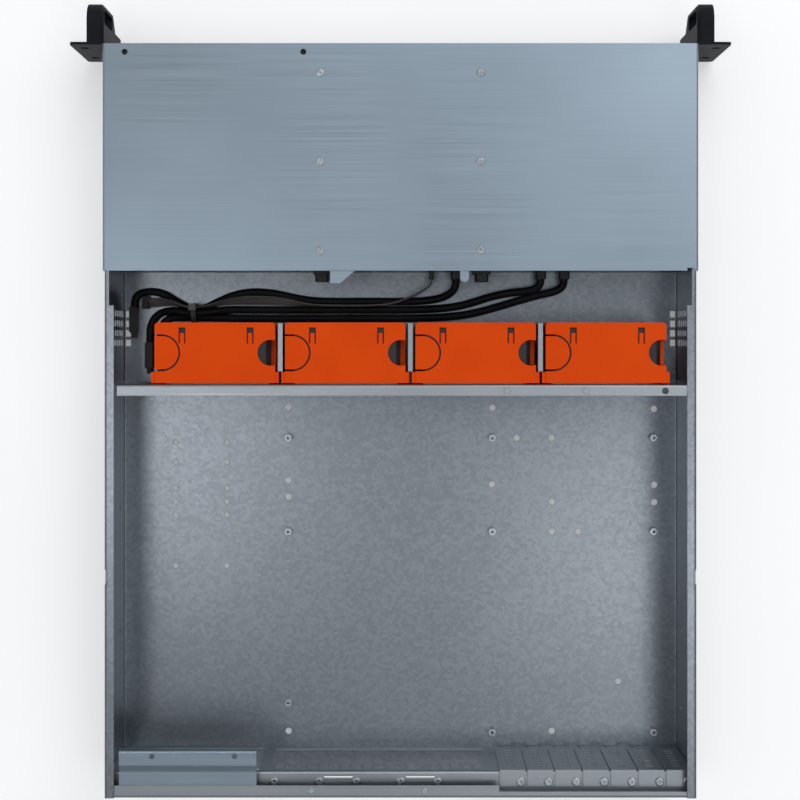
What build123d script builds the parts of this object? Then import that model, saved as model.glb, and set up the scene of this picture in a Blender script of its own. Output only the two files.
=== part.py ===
"""Two-unit rackmount server case with hot-swap drive bays and fans, its rear lid taken off.

Millimetres, +Z up, the front faces -Y. The origin is the middle of the underside.
"""
import os
from math import pi, radians, tan

from build123d import *

os.makedirs("parts", exist_ok=True)

# Body
BODY_D = 547.8
BODY_H = 88.0
SHEET = 1.2
BEND = 1.4
COVER_SHEET = 1.0
COVER_GAP = 0.2
COVER_D = 165.0
SKIRT_H = 12.0
RIM = 7.0
RIM_NARROW = 3.6
RIM_START = 190.0
FIT = 0.3
SEAT = 0.1

# Drive bays
BAY_COLS = 4
BAY_ROWS = 3
CAGE_SHEET = 1.0
CAGE_SETBACK = 10.0
TRAY_GAP = 0.5
BEZEL_D = 8.5
BEZEL_SETBACK = 0.5
BEZEL_GAP = 0.4
RAIL_T, RAIL_IN = 0.8, 2.5
TRAY_END = 10.0
LEVER_SIDES = 18.9
LEVER_T = 4.2
LEVER_PIN_R = 1.4
BOARD_T = 1.6
COVER_LAP = 3.5
WINDOW_W, WINDOW_LIFT, WINDOW_DROP = 60.0, 14.0, 5.3
SOCKET_W, SOCKET_D, SOCKET_H = 42.0, 5.6, 7.0
SOCKET_OFF, SOCKET_LIFT, SOCKET_WALL, SOCKET_SLIT = 12.0, 3.0, 2.0, 2.4

# Ears and handles
EAR_SPAN = 482.6
EAR_REACH = 26.3
EAR_T = 2.0
EAR_Z0, EAR_DROP = 2.0, 6.0
EAR_CORNER = 3.0
EAR_FLANGE_T = 1.5
EAR_FLANGE_D = 34.0
RACK_HOLE_IN = 8.75
RACK_RISE = 44.45
RACK_HOLE_R = 3.3
HANDLE_W = 12.2
HANDLE_BASE_D = 15.0
HANDLE_D = 29.5
HANDLE_LOW, HANDLE_FOOT = 37.0, 24.0
GRIP_BAR = 5.0
GRIP_GAP_LOW, GRIP_GAP_TOP, GRIP_GAP_IN, GRIP_GAP_R = 4.0, 4.5, 1.0, 4.0
GRIP_TOP_R, GRIP_LOW_R = 13.0, 5.0
GRIP_BEVEL = 2.6
BUTTON_R = 3.4
BUTTON_STROKE = 1.5

# Fans
FAN_SIDE = 80.0
FAN_DEPTH = 38.0
FAN_RIM = 2.0
TROUGH_D = 39.4
MODULE_D = 44.0
MODULE_DROP = 3.0
MODULE_FLOOR, MODULE_ROOF, MODULE_SIDE, MODULE_BACK = 1.6, 1.9, 3.8, 3.0
MODULE_GAP = 7.2
RIB_OUT, RIB_D = 2.6, 8.0
SEAT_T, SEAT_BACK = 3.5, 0.5
STRUT_W = 3.0
HUB_R = 17.0
BLADES = 7
BLADE_T = 1.8
TIP_GAP = 0.9
SHAFT_R = 2.0

# Fan wall
WALL_GAP = 0.9
WALL_INSET, WALL_SHIFT = 8.0, 1.0
WALL_DROP = 0.6
WALL_FLANGE = 8.4
GUIDE_CHANNEL_W = 3.6
GUIDE_WEB_T = 0.8
GUIDE_WEB_DROP = 12.0

# Board and floor
BOARD_SIDE, BOARD_REAR = 19.66, 12.47
BOARD_STEP_X = (157.48, 124.46)
BOARD_STEP_Y = (72.39, 154.94)
SHORT_STEP = 22.86
STANDOFF_H = 6.5
STANDOFF_R = 3.0
STANDOFF_BORE_R = 1.25
STANDOFF_SHANK_R = 2.1
FLOOR_HOLE_R = 2.5
DIMPLE_R = 1.9

# Rear
REAR_INSET, REAR_STEP = 0.1, 17.2
LEDGE_DROP = 12.0
REAR_RIM_D = 9.2
SLOT_RIM_D = 4.7
IO_OVERHANG, IO_W = 8.65, 158.75
IO_Z0, IO_H = 7.0, 44.45
PSU_SIDE, PSU_W = 10.0, 101.0
PSU_Z0, PSU_TOP = 3.5, 4.0
VENT_COUNT, VENT_PITCH = 19, 8.1
VENT_W, VENT_H, VENT_GAP = 5.8, 13.0, 4.0
SLOT_COUNT, SLOT_PITCH = 7, 20.32
SLOT_OFFSET = 168.5
SLOT_COVER_W, SLOT_COVER_T = 19.0, 0.9
SLOT_OPEN_W, SLOT_OPEN_Z, SLOT_OPEN_TOP = 13.0, 12.0, 7.0
SLOT_SHOULDER_Z, SLOT_TAPER, SLOT_FOOT_W, SLOT_FOOT_GAP = 11.0, 3.0, 8.0, 1.0
SLOT_FLANGE = 11.5
SLOT_SCREW_OFF = -6.0
SLIT_W, SLIT_H, SLIT_PITCH = 5.7, 4.0, 8.0
SLIT_Z0, SLIT_TOP = 16.0, 8.0
SCREW_R, SCREW_HEAD_R, SCREW_HEAD_H = 1.5, 3.2, 1.9

# Cables
CABLE_R = 3.0
FLAT_WIRES, WIRE_R = 5, 0.75
PLUG_L, PLUG_W, PLUG_H = 20.0, 6.0, 12.0
SOCKET_PLUG_W, SOCKET_PLUG_H = 8.0, 9.0
TIE_X, TIE_W, TIE_T = 159.0, 3.6, 1.0
TIE_GAP = 0.3

# Worked-out places
HALF_W = EAR_SPAN / 2 - EAR_REACH
HALF_D = BODY_D / 2
RIM_Z = BODY_H - COVER_SHEET
INNER_W = HALF_W - SHEET
COVER_HALF = HALF_W + COVER_GAP + COVER_SHEET
CAGE_HALF = HALF_W - RIM_NARROW - FIT
BAY_W = (2 * CAGE_HALF - CAGE_SHEET) / BAY_COLS
BAY_H = (RIM_Z - CAGE_SHEET - SHEET) / BAY_ROWS
TRAY_W = BAY_W - BEZEL_GAP
TRAY_H = BAY_H - CAGE_SHEET - TRAY_GAP - FIT
GUIDE_W = TRAY_GAP + RAIL_T
BEZEL_Y = -HALF_D + BEZEL_SETBACK
BOARD_Y = -HALF_D + COVER_D - COVER_LAP
EAR_Z1 = BODY_H - EAR_DROP
MODULE_Y0 = BOARD_Y + BOARD_T + TROUGH_D
MODULE_Y1 = MODULE_Y0 + MODULE_D
MODULE_TOP = BODY_H - MODULE_DROP
WALL_Y = MODULE_Y1 + WALL_GAP
WALL_HALF = HALF_W - WALL_INSET
WALL_BAR_Z = RIM_Z - WALL_DROP
FAN_Z0 = SHEET + FIT + MODULE_FLOOR
FAN_SIZE = MODULE_TOP - MODULE_ROOF - FAN_Z0
FAN_BORE_R = FAN_SIZE / 2 - FAN_RIM
FAN_AXIS_Z = FAN_Z0 + FAN_SIZE / 2
FAN_Y1 = MODULE_Y1 - MODULE_BACK
MODULE_W = FAN_SIZE + 2 * MODULE_SIDE
FAN_PITCH = MODULE_W + MODULE_GAP
FAN_COUNT = int(2 * WALL_HALF / FAN_PITCH)
REAR_RIM_Y = HALF_D - REAR_INSET
REAR_WALL_Y = REAR_RIM_Y - REAR_STEP
LEDGE_Z = BODY_H - LEDGE_DROP
BOARD_X0 = -HALF_W + BOARD_SIDE + sum(BOARD_STEP_X)
BOARD_Y0 = REAR_WALL_Y - BOARD_REAR - sum(BOARD_STEP_Y)
IO_X0 = BOARD_X0 + IO_OVERHANG - IO_W
PSU_X0 = HALF_W - PSU_SIDE - PSU_W


def block(x0, x1, y0, y1, z0, z1):
    """Box between two corners."""
    return Pos((x0 + x1) / 2, (y0 + y1) / 2, (z0 + z1) / 2) * Box(x1 - x0, y1 - y0, z1 - z0)


def upright(x, y, z0, z1, radius):
    """Cylinder along Z."""
    return Pos(x, y, (z0 + z1) / 2) * Cylinder(radius, z1 - z0)


def along_y(x, y0, y1, z, radius):
    """Cylinder along Y."""
    return Pos(x, (y0 + y1) / 2, z) * Rot(90, 0, 0) * Cylinder(radius, y1 - y0)


def along_x(x0, x1, y, z, radius):
    """Cylinder along X."""
    return Pos((x0 + x1) / 2, y, z) * Rot(0, 90, 0) * Cylinder(radius, x1 - x0)


def folded(points, thickness, bend):
    """Section of a sheet that is folded along its middle line."""
    return trace(FilletPolyline(*points, radius=bend), line_width=thickness)


def run_in_y(section, y0, y1):
    """Section drawn in X and Z, carried from y0 to y1."""
    plane = Plane((0, y1, 0), x_dir=(1, 0, 0), z_dir=(0, -1, 0))
    return extrude(plane * section, y1 - y0)


def run_in_x(section, x0, x1):
    """Section drawn in Y and Z, carried from x0 to x1."""
    return extrude(Plane((x0, 0, 0), x_dir=(0, 1, 0), z_dir=(1, 0, 0)) * section, x1 - x0)


def cross_recess(x, y, z, length, width, depth):
    """Cross for a screwdriver, cut down from z."""
    bar = Box(length, width, 2 * depth)
    return Pos(x, y, z) * (bar + Rot(0, 0, 90) * bar)


def save(shape, name):
    """One file for each piece."""
    export_step(shape, f"parts/{name}.step")


# Base tray: floor, side walls and inward rims of one sheet
WALL_VENT_W, WALL_VENT_H = 4.6, 5.6
WALL_VENT_COLS, WALL_VENT_STEP_Y, WALL_VENT_AHEAD = 4, 7.4, 7.2
WALL_VENT_Z0, WALL_VENT_STEP_Z, WALL_VENT_TOP = 12.0, 10.0, 15.0
WALL_VENT_ROWS = int((RIM_Z - WALL_VENT_TOP - WALL_VENT_Z0) / WALL_VENT_STEP_Z) + 1
FLOOR_VENT_W, FLOOR_VENT_D, FLOOR_VENT_IN = 4.0, 5.0, 1.0
HOOK_NOTCH_BACK, HOOK_NOTCH_L, HOOK_NOTCH_IN, HOOK_NOTCH_H = 165.8, 11.0, 2.2, 5.0
SLIDE_HOLES_BACK = (203.6, 111.0, 51.9)
SLIDE_HOLE_Z, SLIDE_HOLE_R = 22.0, 1.9
# Spare board holes, measured from the first standoff
FLOOR_HOLES = [
    (0.3, -23.3), (0.3, 33.4), (0.1, 46.0), (-157.9, -22.8), (-157.6, 36.3),
    (-176.7, 0.5), (-203.8, 0.5), (-204.2, 49.9), (-204.1, 72.9), (-224.3, 72.9),
    (-282.9, -22.1), (-283.1, 36.7), (-283.1, 50.2), (0.0, 227.3), (-203.9, 227.3), (-255.5, 188.9),
]
# Power supply holes, measured from its bay's side and from the first standoff
SUPPLY_COLUMNS = (70.0, 30.4)
SUPPLY_ROWS = (4.0, 19.1, 39.2, 49.8, 59.9, 99.3)


def standoff_places():
    """The nine places where the board is carried."""
    columns = [BOARD_X0, BOARD_X0 - BOARD_STEP_X[0], BOARD_X0 - sum(BOARD_STEP_X)]
    rows = [BOARD_Y0, BOARD_Y0 + BOARD_STEP_Y[0], BOARD_Y0 + sum(BOARD_STEP_Y)]
    near = [(x, y) for x in columns for y in rows[:2]]
    far = [(columns[0], rows[2] - SHORT_STEP)]
    return near + far + [(x, rows[2]) for x in columns[1:]]


def base_tray():
    rim_line = RIM_Z - SHEET / 2
    wall_line = HALF_W - SHEET / 2
    points = [
        (-HALF_W + RIM, rim_line), (-wall_line, rim_line), (-wall_line, SHEET / 2),
        (wall_line, SHEET / 2), (wall_line, rim_line), (HALF_W - RIM, rim_line),
    ]
    tray = run_in_y(folded(points, SHEET, BEND), -HALF_D, HALF_D)
    cuts = []
    for side in (-1, 1):
        inner, outer = sorted((side * (HALF_W - RIM - 1), side * (HALF_W - RIM_NARROW)))
        cuts.append(block(inner, outer, -HALF_D - 1, -HALF_D + RIM_START, RIM_Z - 2 * SHEET, RIM_Z + 1))
        notch = sorted((side * (HALF_W - HOOK_NOTCH_IN), side * (HALF_W + 1)))
        notch_y = HALF_D - HOOK_NOTCH_BACK
        cuts.append(block(*notch, notch_y, notch_y + HOOK_NOTCH_L, RIM_Z - HOOK_NOTCH_H, RIM_Z + 1))
        through = sorted((side * (INNER_W - 1), side * (HALF_W + 1)))
        for i in range(WALL_VENT_COLS):
            y = MODULE_Y0 - WALL_VENT_AHEAD + i * WALL_VENT_STEP_Y
            lift = (i % 2) * WALL_VENT_H / 2
            for row in range(WALL_VENT_ROWS):
                z = WALL_VENT_Z0 + row * WALL_VENT_STEP_Z + lift
                cuts.append(block(*through, y - WALL_VENT_W / 2, y + WALL_VENT_W / 2,
                                  z - WALL_VENT_H / 2, z + WALL_VENT_H / 2))
            edge = INNER_W - FLOOR_VENT_IN
            near = sorted((side * edge, side * (edge - FLOOR_VENT_W)))
            cuts.append(block(*near, y - FLOOR_VENT_D / 2, y + FLOOR_VENT_D / 2, -1, SHEET + 1))
        for back in SLIDE_HOLES_BACK:
            cuts.append(along_x(*through, HALF_D - back, SLIDE_HOLE_Z, SLIDE_HOLE_R))
        for z in EAR_SCREW_Z:
            cuts.append(along_x(*through, EAR_SCREW_Y, z, SCREW_R + SEAT))
    cuts += [upright(BOARD_X0 + x, BOARD_Y0 + y, -1, SHEET + 1, FLOOR_HOLE_R) for x, y in FLOOR_HOLES]
    cuts += [upright(PSU_X0 + x, BOARD_Y0 + y, -1, SHEET + 1, DIMPLE_R)
             for x in SUPPLY_COLUMNS for y in SUPPLY_ROWS]
    cuts += [upright(x, y, -1, SHEET + 1, STANDOFF_SHANK_R + SEAT) for x, y in standoff_places()]
    return tray - cuts


def standoffs():
    """Six-sided pillars pressed into the floor, with a bore for the board's screw."""
    top = SHEET + STANDOFF_H
    solids = []
    for x, y in standoff_places():
        pillar = Pos(x, y, SHEET) * extrude(RegularPolygon(STANDOFF_R, 6), STANDOFF_H)
        pillar += upright(x, y, 0, SHEET, STANDOFF_SHANK_R)
        solids.append(pillar - upright(x, y, SHEET, top + 1, STANDOFF_BORE_R))
    return Compound(children=solids)


# Front cover and the cage under it
COVER_REAR = -HALF_D + COVER_D
COVER_SCREW_X, COVER_SCREW_FRONT, COVER_SCREW_REAR, COVER_SCREW_ROWS = 58.2, 21.4, 15.0, 3
COVER_SCREW_STEP = (COVER_D - COVER_SCREW_FRONT - COVER_SCREW_REAR) / (COVER_SCREW_ROWS - 1)
COVER_SCREWS = [(side * COVER_SCREW_X, -HALF_D + COVER_SCREW_FRONT + row * COVER_SCREW_STEP)
                for side in (1, -1) for row in range(COVER_SCREW_ROWS)]
COVER_HOLE_SIDE, COVER_HOLE_MID, COVER_HOLE_IN, COVER_HOLE_R = 15.0, 70.5, 6.3, 2.1
COVER_HOLES_X = (HALF_W - COVER_HOLE_SIDE, COVER_HOLE_MID)
COUNTERSINK_R = 2.9
COVER_SCREW_L = 3.0
COVER_CROSS_L, COVER_CROSS_W, COVER_CROSS_D = 2.6, 0.6, 0.5
COVER_NOTCH_IN, COVER_NOTCH_W, COVER_NOTCH_D = 2.0, 5.0, 2.0
LUG_X, LUG_W, LUG_TIP_W, LUG_D = 51.1, 18.1, 7.3, 9.2
ROUND_LUG_X, ROUND_LUG_R, ROUND_LUG_D = -46.5, 3.3, 8.1


def front_cover():
    line = BODY_H - COVER_SHEET / 2
    side = COVER_HALF - COVER_SHEET / 2
    low = BODY_H - SKIRT_H
    points = [(-side, low), (-side, line), (side, line), (side, low)]
    cover = run_in_y(folded(points, COVER_SHEET, BEND), -HALF_D, COVER_REAR)
    cuts = [upright(x, -HALF_D + COVER_HOLE_IN, RIM_Z - 1, BODY_H + 1, COVER_HOLE_R)
            for x in COVER_HOLES_X]
    for x, y in COVER_SCREWS:
        cuts.append(Pos(x, y, BODY_H - COVER_SHEET / 2)
                    * Cone(SCREW_R + SEAT, COUNTERSINK_R + SEAT, COVER_SHEET))
    notch_x = -HALF_W + COVER_NOTCH_IN
    cuts.append(block(notch_x, notch_x + COVER_NOTCH_W, COVER_REAR - COVER_NOTCH_D, COVER_REAR + 1,
                      RIM_Z - 1, BODY_H + 1))
    return cover - cuts


def cover_screws():
    """Countersunk screws with a cross recess, flush in the cover."""
    solids = []
    for x, y in COVER_SCREWS:
        head = Pos(x, y, BODY_H - COVER_SHEET / 2) * Cone(SCREW_R, COUNTERSINK_R, COVER_SHEET)
        screw = head + upright(x, y, RIM_Z - COVER_SCREW_L, RIM_Z, SCREW_R)
        solids.append(screw - cross_recess(x, y, BODY_H, COVER_CROSS_L, COVER_CROSS_W, COVER_CROSS_D))
    return Compound(children=solids)


def bay_x(col):
    """Middle of a column of bays."""
    return -CAGE_HALF + CAGE_SHEET / 2 + (col + 0.5) * BAY_W


def bay_z(row):
    """Underside of a row of bays."""
    return SHEET + row * BAY_H


def drive_cage():
    """Top sheet, five uprights and the guides that the trays slide on."""
    y0 = -HALF_D + CAGE_SETBACK
    top = block(-CAGE_HALF, CAGE_HALF, y0, BOARD_Y, RIM_Z - CAGE_SHEET, RIM_Z)
    cage = top
    for i in range(BAY_COLS + 1):
        x = -CAGE_HALF + i * BAY_W
        cage += block(x, x + CAGE_SHEET, y0, BOARD_Y, SHEET, RIM_Z)
        for row in range(1, BAY_ROWS):
            left = x - GUIDE_W if i else x
            right = x + CAGE_SHEET + GUIDE_W if i < BAY_COLS else x + CAGE_SHEET
            cage += block(left, right, y0, BOARD_Y, bay_z(row) - CAGE_SHEET, bay_z(row))
    cage += cage_lugs()
    return cage - [upright(x, y, RIM_Z - 2, RIM_Z + 1, SCREW_R + SEAT) for x, y in COVER_SCREWS]


def cage_lugs():
    """Two lugs of the top sheet that stand out behind the cover, one slanted and one round."""
    tip = COVER_REAR + LUG_D
    points = [(LUG_X, BOARD_Y), (LUG_X, tip), (LUG_X - LUG_TIP_W, tip), (LUG_X - LUG_W, COVER_REAR),
              (LUG_X - LUG_W, BOARD_Y)]
    middle = COVER_REAR + ROUND_LUG_D - ROUND_LUG_R
    face = make_face(Polyline(*points, close=True)) + Pos(ROUND_LUG_X, middle) * Circle(ROUND_LUG_R)
    face += Pos(ROUND_LUG_X, (BOARD_Y + middle) / 2) * Rectangle(2 * ROUND_LUG_R, middle - BOARD_Y)
    return Pos(0, 0, RIM_Z - CAGE_SHEET) * extrude(face, CAGE_SHEET)


def backplane():
    """Circuit board behind the drives, with a window for air over each socket."""
    board = block(-CAGE_HALF, CAGE_HALF, BOARD_Y, BOARD_Y + BOARD_T, SHEET, RIM_Z - CAGE_SHEET)
    cuts = []
    for col in range(BAY_COLS):
        for row in range(BAY_ROWS):
            cuts.append(block(bay_x(col) - WINDOW_W / 2, bay_x(col) + WINDOW_W / 2, BOARD_Y - 1,
                              BOARD_Y + BOARD_T + 1, bay_z(row) + WINDOW_LIFT, bay_z(row + 1) - WINDOW_DROP))
    return board - cuts


def backplane_sockets():
    """Drive sockets on the front of the board, each with its slit."""
    solids = []
    for col in range(BAY_COLS):
        for row in range(BAY_ROWS):
            x, z = bay_x(col) - SOCKET_OFF, bay_z(row) + SOCKET_LIFT
            body = block(x - SOCKET_W / 2, x + SOCKET_W / 2, BOARD_Y - SOCKET_D, BOARD_Y, z, z + SOCKET_H)
            wall, middle = SOCKET_WALL, z + SOCKET_H / 2
            slit = SOCKET_W / 2 - wall
            solids.append(body - block(x - slit, x + slit, BOARD_Y - SOCKET_D - 1,
                                       BOARD_Y - wall, middle - SOCKET_SLIT / 2, middle + SOCKET_SLIT / 2))
    return Compound(children=solids)


# Power plugs at the back of the backplane
POWER_PLUG_X = (58.5, -60.5)
POWER_PLUG_W, POWER_PLUG_D, POWER_PLUG_H, POWER_PLUG_Z = 9.8, 8.6, 21.0, 36.0
POWER_PLUG_BEVEL, POWER_COLLAR_OUT, POWER_COLLAR_D = 1.2, 1.5, 3.0


def power_plugs():
    """Four-way plugs standing on end, with a collar next to the board."""
    y0 = BOARD_Y + BOARD_T
    solids = []
    for x in POWER_PLUG_X:
        plug = block(x - POWER_PLUG_W / 2, x + POWER_PLUG_W / 2, y0, y0 + POWER_PLUG_D,
                     POWER_PLUG_Z, POWER_PLUG_Z + POWER_PLUG_H)
        plug = chamfer(plug.edges().filter_by(Axis.Y), POWER_PLUG_BEVEL)
        half = POWER_PLUG_W / 2 + POWER_COLLAR_OUT
        plug += block(x - half, x + half, y0, y0 + POWER_COLLAR_D, POWER_PLUG_Z - POWER_COLLAR_OUT,
                      POWER_PLUG_Z + POWER_PLUG_H + POWER_COLLAR_OUT)
        solids.append(plug)
    return Compound(children=solids)


# Drive trays and levers
RECESS_SIDE, RECESS_LIFT, RECESS_ROOF = 5.0, 8.5, 3.0
LEVER_L = TRAY_W - LEVER_SIDES
LEVER_H = TRAY_H - RECESS_LIFT - RECESS_ROOF
LEVER_PIN_OUT, LEVER_PIN_BORE = 1.6, 2.0
LEVER_WINDOW_W, LEVER_WINDOW_PITCH, LEVER_WINDOW_START, LEVER_FRAME = 9.0, 12.0, 9.0, 3.0
LEVER_GRIP_R, LEVER_GRIP_KEEP = 3.6, 8.0
FINGER_SLOT_L, FINGER_SLOT_IN = 6.0, 2.0
BEZEL_BEVEL = 0.6
BEZEL_SLOT_W, BEZEL_SLOT_PITCH, BEZEL_SLOT_SIDE = 7.0, 10.4, 5.5
BEZEL_SLOT_Z0, BEZEL_SLOT_Z1 = 2.4, 5.6
DRIVE_HOLES, DRIVE_HOLE_Z, DRIVE_HOLE_R = (28.5, 130.1), 6.5, 1.8


def tray_frame(col, row):
    """Front with a lever recess and air slots, and two rails let into its back to carry a drive."""
    x, z0 = bay_x(col), bay_z(row) + FIT
    z1 = z0 + TRAY_H
    back = BEZEL_Y + BEZEL_D
    front = block(x - TRAY_W / 2, x + TRAY_W / 2, BEZEL_Y, back, z0, z1)
    front = chamfer(front.faces().sort_by(Axis.Y)[0].edges(), BEZEL_BEVEL)
    lever_x0 = x - TRAY_W / 2 + RECESS_SIDE
    floor_y = BEZEL_Y + LEVER_T + FIT
    low, high = z0 + RECESS_LIFT, z0 + RECESS_LIFT + LEVER_H
    cuts = [block(lever_x0 - FIT, lever_x0 + LEVER_L + FIT, BEZEL_Y - 1, floor_y, low - FIT, high + FIT)]
    cuts.append(block(lever_x0 + LEVER_L, lever_x0 + LEVER_L + FINGER_SLOT_L, BEZEL_Y - 1, floor_y,
                      low + FINGER_SLOT_IN, high - FINGER_SLOT_IN))
    pin_x, pin_y = lever_pin(col)
    cuts.append(upright(pin_x, pin_y, low - LEVER_PIN_BORE, high + LEVER_PIN_BORE, LEVER_PIN_R + SEAT))
    slot_count = int((TRAY_W - 2 * BEZEL_SLOT_SIDE) / BEZEL_SLOT_PITCH)
    for i in range(slot_count):
        slot_mid = x + (i - (slot_count - 1) / 2) * BEZEL_SLOT_PITCH
        cuts.append(block(slot_mid - BEZEL_SLOT_W / 2, slot_mid + BEZEL_SLOT_W / 2, BEZEL_Y - 1, back + 1,
                          z0 + BEZEL_SLOT_Z0, z0 + BEZEL_SLOT_Z1))
    holes = [along_x(x - BAY_W / 2, x + BAY_W / 2, BOARD_Y - SOCKET_D - ahead, z0 + DRIVE_HOLE_Z,
                     DRIVE_HOLE_R) for ahead in DRIVE_HOLES]
    rail_x = (BAY_W - CAGE_SHEET) / 2 - TRAY_GAP
    rails = []
    for side in (-1, 1):
        near, far = sorted((x + side * (rail_x - RAIL_T), x + side * rail_x))
        rails.append(block(near, far, back - RAIL_IN, BOARD_Y - TRAY_END, z0, z1) - holes)
        cuts.append(block(near - SEAT, far + SEAT, back - RAIL_IN, back + 1, z0 - 1, z1 + 1))
    return Compound(children=[front - cuts] + rails)


def lever_pin(col):
    """Hinge line of a tray's lever, seen from above."""
    return bay_x(col) - TRAY_W / 2 + RECESS_SIDE + LEVER_T / 2, BEZEL_Y + LEVER_T / 2


def tray_lever(col, row):
    """Swinging lever with a rounded hinge end, air windows and a finger notch."""
    pin_x, pin_y = lever_pin(col)
    z0 = bay_z(row) + FIT + RECESS_LIFT
    z1 = z0 + LEVER_H
    reach = LEVER_L - LEVER_T / 2
    front, back = pin_y - LEVER_T / 2, pin_y + LEVER_T / 2
    bar = block(pin_x, pin_x + reach, front, back, z0, z1)
    bar += upright(pin_x, pin_y, z0, z1, LEVER_T / 2)
    bar += upright(pin_x, pin_y, z0 - LEVER_PIN_OUT, z1 + LEVER_PIN_OUT, LEVER_PIN_R)
    cuts = [along_y(pin_x + reach, front - 1, back + 1, (z0 + z1) / 2, LEVER_GRIP_R)]
    count = int((reach - LEVER_WINDOW_START - LEVER_GRIP_KEEP) / LEVER_WINDOW_PITCH)
    for i in range(count):
        window_x = pin_x + LEVER_WINDOW_START + i * LEVER_WINDOW_PITCH
        cuts.append(block(window_x, window_x + LEVER_WINDOW_W, front - 1, back + 1, z0 + LEVER_FRAME,
                          z1 - LEVER_FRAME))
    return bar - cuts


# Ears
EAR_SCREW_IN, EAR_SCREW_LOW, EAR_SCREW_TOP = 17.0, 14.0, 26.0
EAR_SCREW_Y = -HALF_D + EAR_SCREW_IN
EAR_SCREW_HIGH = BODY_H - EAR_SCREW_TOP
EAR_SCREW_Z = (EAR_SCREW_LOW, (EAR_SCREW_LOW + EAR_SCREW_HIGH) / 2, EAR_SCREW_HIGH)
EAR_SCREW_HEAD_R, EAR_SCREW_HEAD_H, EAR_SCREW_OUT = 2.8, 1.4, 0.5
EAR_FLANGE_LIFT = 2.0
RACK_X = EAR_SPAN / 2 - RACK_HOLE_IN
RACK_Z = (BODY_H / 2 - RACK_RISE / 2, BODY_H / 2 + RACK_RISE / 2)
BUTTON_Z = 13.0
BUTTON_BORE_D, BUTTON_D, BUTTON_BEVEL = 8.0, 5.5, 0.5
DISH_R, DISH_D = 12.0, 0.6


def ear(side):
    """Ear plate, side flange and D-shaped handle, cast as one piece."""
    front = -HALF_D - EAR_T
    handle_x = HALF_W + EAR_FLANGE_T
    outline = Pos((HALF_W + EAR_SPAN / 2) / 2, (EAR_Z0 + EAR_Z1) / 2) * Rectangle(
        EAR_SPAN / 2 - HALF_W, EAR_Z1 - EAR_Z0)
    outer = outline.vertices().sort_by(Axis.X)[-2:]
    plate = run_in_y(fillet(outer, EAR_CORNER), front, -HALF_D)
    flange = block(HALF_W, handle_x, -HALF_D, -HALF_D + EAR_FLANGE_D,
                   EAR_Z0 + EAR_FLANGE_LIFT, BODY_H - SKIRT_H - FIT)
    base_y, tip_y = front - HANDLE_BASE_D, front - HANDLE_D
    points = [(front, EAR_Z0), (base_y, EAR_Z0), (base_y, HANDLE_FOOT), (tip_y, HANDLE_LOW),
              (tip_y, EAR_Z1), (front, EAR_Z1)]
    profile = make_face(Polyline(*points, close=True))
    for end_z, radius in ((EAR_Z1, GRIP_TOP_R), (HANDLE_LOW, GRIP_LOW_R)):
        corner = profile.vertices().sort_by_distance((tip_y, end_z))[0]
        profile = fillet(corner, radius)
    gap_y0, gap_y1 = tip_y + GRIP_BAR, base_y + GRIP_GAP_IN
    gap_z0, gap_z1 = HANDLE_LOW + GRIP_GAP_LOW, EAR_Z1 - GRIP_GAP_TOP
    gap = Pos((gap_y0 + gap_y1) / 2, (gap_z0 + gap_z1) / 2) * RectangleRounded(
        gap_y1 - gap_y0, gap_z1 - gap_z0, GRIP_GAP_R)
    handle = run_in_x(profile - gap, handle_x, handle_x + HANDLE_W)
    inner_top = handle.edges().filter_by(Axis.Y).sort_by(Axis.Z)[-2:].sort_by(Axis.X)[0]
    handle = chamfer(inner_top, GRIP_BEVEL)
    body = plate + flange + handle
    cuts = [along_y(RACK_X, front - 1, -HALF_D + 1, z, RACK_HOLE_R) for z in RACK_Z]
    for z in EAR_SCREW_Z:
        cuts.append(along_x(HALF_W - 1, handle_x + 1, EAR_SCREW_Y, z, SCREW_R + SEAT))
    body -= cuts
    if side < 0:
        return mirror(body, Plane.YZ)
    return body - button_bore()


def button_bore():
    """Blind bore for the power button in the right handle's base."""
    x, front = button_axis()
    return along_y(x, front - 1, front + BUTTON_BORE_D, BUTTON_Z, BUTTON_R + FIT)


def button_axis():
    """Middle of the power button and the face that it stands in."""
    return HALF_W + EAR_FLANGE_T + HANDLE_W / 2, -HALF_D - EAR_T - HANDLE_BASE_D


def power_button():
    """Round button with a dished face."""
    x, front = button_axis()
    cap = along_y(x, front - BUTTON_STROKE, front + BUTTON_D, BUTTON_Z, BUTTON_R)
    cap = chamfer(cap.edges().sort_by(Axis.Y)[0], BUTTON_BEVEL)
    return cap - Pos(x, front - BUTTON_STROKE - DISH_R + DISH_D, BUTTON_Z) * Sphere(DISH_R)


def ear_screws():
    """Pan-head screws through the ear flanges into the walls."""
    solids = []
    for side in (-1, 1):
        for z in EAR_SCREW_Z:
            face = HALF_W + EAR_FLANGE_T
            shank = sorted((side * (INNER_W - EAR_SCREW_OUT), side * face))
            head = sorted((side * face, side * (face + EAR_SCREW_HEAD_H)))
            solids.append(along_x(*shank, EAR_SCREW_Y, z, SCREW_R)
                          + along_x(*head, EAR_SCREW_Y, z, EAR_SCREW_HEAD_R))
    return Compound(children=solids)


# Fan wall: folded channel with four openings and three guide channels
WALL_OPEN_IN, WALL_OPEN_TOP = 2.0, 4.0
BAR_STUDS_IN, BAR_HOLE_IN = (137.6, 80.2), 22.7
BAR_HOLE_R, BAR_STUD_H = 2.4, 0.4
GUIDE_FRONT, GUIDE_TOP = 0.5, 3.0


def fan_x(index):
    """Middle of a fan module."""
    return HALF_W - FAN_SIDE - index * FAN_PITCH


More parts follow.
